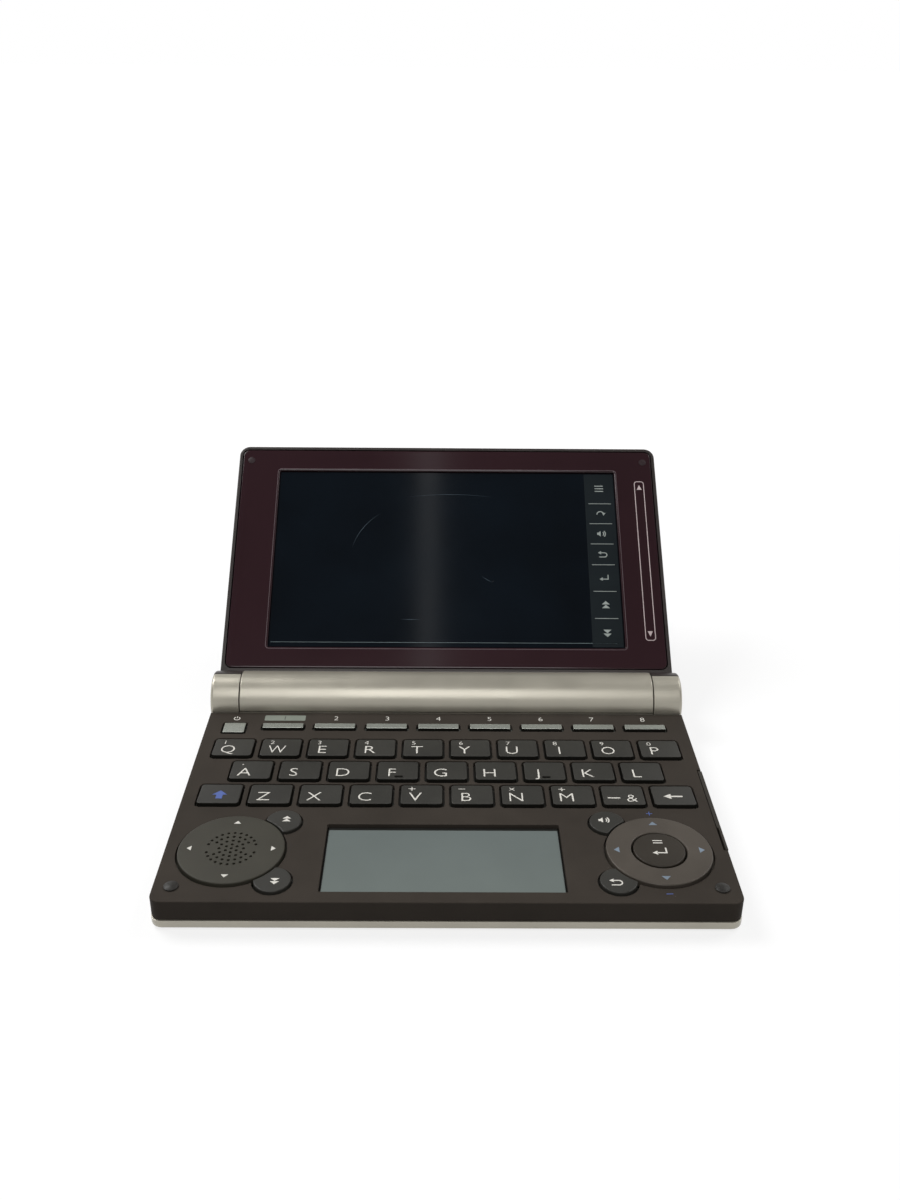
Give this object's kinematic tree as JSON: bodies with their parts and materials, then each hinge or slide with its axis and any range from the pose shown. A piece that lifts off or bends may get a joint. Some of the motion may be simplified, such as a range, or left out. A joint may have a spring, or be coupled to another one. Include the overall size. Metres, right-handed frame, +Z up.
{
  "type": "electronic dictionary",
  "caption": "Folding pocket dictionary: keyboard base with lower display and round controls, battery barrel on the hinge axis and a lid with a wide screen and touch strip.",
  "frame": {"origin": "centre of the bounding box's footprint, at the feet's undersides", "axes": "+X to the user's right, +Y from the user to the back, +Z up; the lid stands open as in the picture"},
  "size_m": [0.148, 0.1746, 0.0677],
  "materials": {
    "dark_shell": "fine satin, faint metallic sparkle",
    "pale_shell": "champagne metallic paint",
    "bezel": "high gloss, wine red",
    "key": "satin",
    "silver_key": "silver paint",
    "pad": "satin",
    "ring": "satin metallic paint",
    "screen": "glossy, dark",
    "panel": "glossy, grey",
    "board": "solder mask",
    "speaker": "satin",
    "cell": "printed sleeve",
    "pen": "satin"
  },
  "bodies": {
    "base": {"base_top_case": "dark_shell", "base_bottom_case": "pale_shell", "barrel_cover": "pale_shell", "battery_left": "cell", "battery_right": "cell", "main_board": "board", "speaker": "speaker", "sub_display": "panel"},
    "lid": {"lid_back_cover": "dark_shell", "lid_bezel": "bezel", "main_display": "screen", "hinge_cap_left": "pale_shell", "hinge_cap_right": "pale_shell"},
    "stylus": {"stylus": "pen"},
    "battery_door": {"battery_door": "pale_shell"},
    "key_q": {"key_q": "key"},
    "key_w": {"key_w": "key"},
    "key_e": {"key_e": "key"},
    "key_r": {"key_r": "key"},
    "key_t": {"key_t": "key"},
    "key_y": {"key_y": "key"},
    "key_u": {"key_u": "key"},
    "key_i": {"key_i": "key"},
    "key_o": {"key_o": "key"},
    "key_p": {"key_p": "key"},
    "key_a": {"key_a": "key"},
    "key_s": {"key_s": "key"},
    "key_d": {"key_d": "key"},
    "key_f": {"key_f": "key"},
    "key_g": {"key_g": "key"},
    "key_h": {"key_h": "key"},
    "key_j": {"key_j": "key"},
    "key_k": {"key_k": "key"},
    "key_l": {"key_l": "key"},
    "key_shift": {"key_shift": "key"},
    "key_z": {"key_z": "key"},
    "key_x": {"key_x": "key"},
    "key_c": {"key_c": "key"},
    "key_v": {"key_v": "key"},
    "key_b": {"key_b": "key"},
    "key_n": {"key_n": "key"},
    "key_m": {"key_m": "key"},
    "key_symbol": {"key_symbol": "key"},
    "key_delete": {"key_delete": "key"},
    "power_key": {"power_key": "silver_key"},
    "function_key_1": {"function_key_1": "silver_key"},
    "function_key_2": {"function_key_2": "silver_key"},
    "function_key_3": {"function_key_3": "silver_key"},
    "function_key_4": {"function_key_4": "silver_key"},
    "function_key_5": {"function_key_5": "silver_key"},
    "function_key_6": {"function_key_6": "silver_key"},
    "function_key_7": {"function_key_7": "silver_key"},
    "function_key_8": {"function_key_8": "silver_key"},
    "speaker_pad": {"speaker_pad": "pad"},
    "page_up_key": {"page_up_key": "key"},
    "page_down_key": {"page_down_key": "key"},
    "nav_ring": {"nav_ring": "ring"},
    "enter_key": {"enter_key": "pad"},
    "voice_key": {"voice_key": "key"},
    "back_key": {"back_key": "key"}
  },
  "joints": [
    {"name": "lid_hinge", "type": "hinge", "parent": "base", "child": "lid", "pos_m": [0, 0.00942, 0.0091], "axis": [1, 0, 0], "range_deg": [-8.5, 141.5]},
    {"name": "stylus_slide", "type": "slide", "parent": "base", "child": "stylus", "axis": [1, 0, 0], "range_m": [0, 0.012]},
    {"name": "battery_door_slide", "type": "slide", "parent": "base", "child": "battery_door", "axis": [0, 1, 0], "range_m": [0, 0.02]},
    {"name": "key_q_press", "type": "slide", "parent": "base", "child": "key_q", "axis": [0, 0, -1], "range_m": [0, 0.0008], "stiffness_N_per_m": 300},
    {"name": "key_w_press", "type": "slide", "parent": "base", "child": "key_w", "axis": [0, 0, -1], "range_m": [0, 0.0008], "stiffness_N_per_m": 300},
    {"name": "key_e_press", "type": "slide", "parent": "base", "child": "key_e", "axis": [0, 0, -1], "range_m": [0, 0.0008], "stiffness_N_per_m": 300},
    {"name": "key_r_press", "type": "slide", "parent": "base", "child": "key_r", "axis": [0, 0, -1], "range_m": [0, 0.0008], "stiffness_N_per_m": 300},
    {"name": "key_t_press", "type": "slide", "parent": "base", "child": "key_t", "axis": [0, 0, -1], "range_m": [0, 0.0008], "stiffness_N_per_m": 300},
    {"name": "key_y_press", "type": "slide", "parent": "base", "child": "key_y", "axis": [0, 0, -1], "range_m": [0, 0.0008], "stiffness_N_per_m": 300},
    {"name": "key_u_press", "type": "slide", "parent": "base", "child": "key_u", "axis": [0, 0, -1], "range_m": [0, 0.0008], "stiffness_N_per_m": 300},
    {"name": "key_i_press", "type": "slide", "parent": "base", "child": "key_i", "axis": [0, 0, -1], "range_m": [0, 0.0008], "stiffness_N_per_m": 300},
    {"name": "key_o_press", "type": "slide", "parent": "base", "child": "key_o", "axis": [0, 0, -1], "range_m": [0, 0.0008], "stiffness_N_per_m": 300},
    {"name": "key_p_press", "type": "slide", "parent": "base", "child": "key_p", "axis": [0, 0, -1], "range_m": [0, 0.0008], "stiffness_N_per_m": 300},
    {"name": "key_a_press", "type": "slide", "parent": "base", "child": "key_a", "axis": [0, 0, -1], "range_m": [0, 0.0008], "stiffness_N_per_m": 300},
    {"name": "key_s_press", "type": "slide", "parent": "base", "child": "key_s", "axis": [0, 0, -1], "range_m": [0, 0.0008], "stiffness_N_per_m": 300},
    {"name": "key_d_press", "type": "slide", "parent": "base", "child": "key_d", "axis": [0, 0, -1], "range_m": [0, 0.0008], "stiffness_N_per_m": 300},
    {"name": "key_f_press", "type": "slide", "parent": "base", "child": "key_f", "axis": [0, 0, -1], "range_m": [0, 0.0008], "stiffness_N_per_m": 300},
    {"name": "key_g_press", "type": "slide", "parent": "base", "child": "key_g", "axis": [0, 0, -1], "range_m": [0, 0.0008], "stiffness_N_per_m": 300},
    {"name": "key_h_press", "type": "slide", "parent": "base", "child": "key_h", "axis": [0, 0, -1], "range_m": [0, 0.0008], "stiffness_N_per_m": 300},
    {"name": "key_j_press", "type": "slide", "parent": "base", "child": "key_j", "axis": [0, 0, -1], "range_m": [0, 0.0008], "stiffness_N_per_m": 300},
    {"name": "key_k_press", "type": "slide", "parent": "base", "child": "key_k", "axis": [0, 0, -1], "range_m": [0, 0.0008], "stiffness_N_per_m": 300},
    {"name": "key_l_press", "type": "slide", "parent": "base", "child": "key_l", "axis": [0, 0, -1], "range_m": [0, 0.0008], "stiffness_N_per_m": 300},
    {"name": "key_shift_press", "type": "slide", "parent": "base", "child": "key_shift", "axis": [0, 0, -1], "range_m": [0, 0.0008], "stiffness_N_per_m": 300},
    {"name": "key_z_press", "type": "slide", "parent": "base", "child": "key_z", "axis": [0, 0, -1], "range_m": [0, 0.0008], "stiffness_N_per_m": 300},
    {"name": "key_x_press", "type": "slide", "parent": "base", "child": "key_x", "axis": [0, 0, -1], "range_m": [0, 0.0008], "stiffness_N_per_m": 300},
    {"name": "key_c_press", "type": "slide", "parent": "base", "child": "key_c", "axis": [0, 0, -1], "range_m": [0, 0.0008], "stiffness_N_per_m": 300},
    {"name": "key_v_press", "type": "slide", "parent": "base", "child": "key_v", "axis": [0, 0, -1], "range_m": [0, 0.0008], "stiffness_N_per_m": 300},
    {"name": "key_b_press", "type": "slide", "parent": "base", "child": "key_b", "axis": [0, 0, -1], "range_m": [0, 0.0008], "stiffness_N_per_m": 300},
    {"name": "key_n_press", "type": "slide", "parent": "base", "child": "key_n", "axis": [0, 0, -1], "range_m": [0, 0.0008], "stiffness_N_per_m": 300},
    {"name": "key_m_press", "type": "slide", "parent": "base", "child": "key_m", "axis": [0, 0, -1], "range_m": [0, 0.0008], "stiffness_N_per_m": 300},
    {"name": "key_symbol_press", "type": "slide", "parent": "base", "child": "key_symbol", "axis": [0, 0, -1], "range_m": [0, 0.0008], "stiffness_N_per_m": 300},
    {"name": "key_delete_press", "type": "slide", "parent": "base", "child": "key_delete", "axis": [0, 0, -1], "range_m": [0, 0.0008], "stiffness_N_per_m": 300},
    {"name": "power_key_press", "type": "slide", "parent": "base", "child": "power_key", "axis": [0, 0, -1], "range_m": [0, 0.0008], "stiffness_N_per_m": 300},
    {"name": "function_key_1_press", "type": "slide", "parent": "base", "child": "function_key_1", "axis": [0, 0, -1], "range_m": [0, 0.0008], "stiffness_N_per_m": 300},
    {"name": "function_key_2_press", "type": "slide", "parent": "base", "child": "function_key_2", "axis": [0, 0, -1], "range_m": [0, 0.0008], "stiffness_N_per_m": 300},
    {"name": "function_key_3_press", "type": "slide", "parent": "base", "child": "function_key_3", "axis": [0, 0, -1], "range_m": [0, 0.0008], "stiffness_N_per_m": 300},
    {"name": "function_key_4_press", "type": "slide", "parent": "base", "child": "function_key_4", "axis": [0, 0, -1], "range_m": [0, 0.0008], "stiffness_N_per_m": 300},
    {"name": "function_key_5_press", "type": "slide", "parent": "base", "child": "function_key_5", "axis": [0, 0, -1], "range_m": [0, 0.0008], "stiffness_N_per_m": 300},
    {"name": "function_key_6_press", "type": "slide", "parent": "base", "child": "function_key_6", "axis": [0, 0, -1], "range_m": [0, 0.0008], "stiffness_N_per_m": 300},
    {"name": "function_key_7_press", "type": "slide", "parent": "base", "child": "function_key_7", "axis": [0, 0, -1], "range_m": [0, 0.0008], "stiffness_N_per_m": 300},
    {"name": "function_key_8_press", "type": "slide", "parent": "base", "child": "function_key_8", "axis": [0, 0, -1], "range_m": [0, 0.0008], "stiffness_N_per_m": 300},
    {"name": "speaker_pad_press", "type": "slide", "parent": "base", "child": "speaker_pad", "axis": [0, 0, -1], "range_m": [0, 0.0008], "stiffness_N_per_m": 300},
    {"name": "page_up_key_press", "type": "slide", "parent": "base", "child": "page_up_key", "axis": [0, 0, -1], "range_m": [0, 0.0008], "stiffness_N_per_m": 300},
    {"name": "page_down_key_press", "type": "slide", "parent": "base", "child": "page_down_key", "axis": [0, 0, -1], "range_m": [0, 0.0008], "stiffness_N_per_m": 300},
    {"name": "nav_ring_press", "type": "slide", "parent": "base", "child": "nav_ring", "axis": [0, 0, -1], "range_m": [0, 0.0008], "stiffness_N_per_m": 300},
    {"name": "enter_key_press", "type": "slide", "parent": "base", "child": "enter_key", "axis": [0, 0, -1], "range_m": [0, 0.0008], "stiffness_N_per_m": 300},
    {"name": "voice_key_press", "type": "slide", "parent": "base", "child": "voice_key", "axis": [0, 0, -1], "range_m": [0, 0.0008], "stiffness_N_per_m": 300},
    {"name": "back_key_press", "type": "slide", "parent": "base", "child": "back_key", "axis": [0, 0, -1], "range_m": [0, 0.0008], "stiffness_N_per_m": 300}
  ]
}
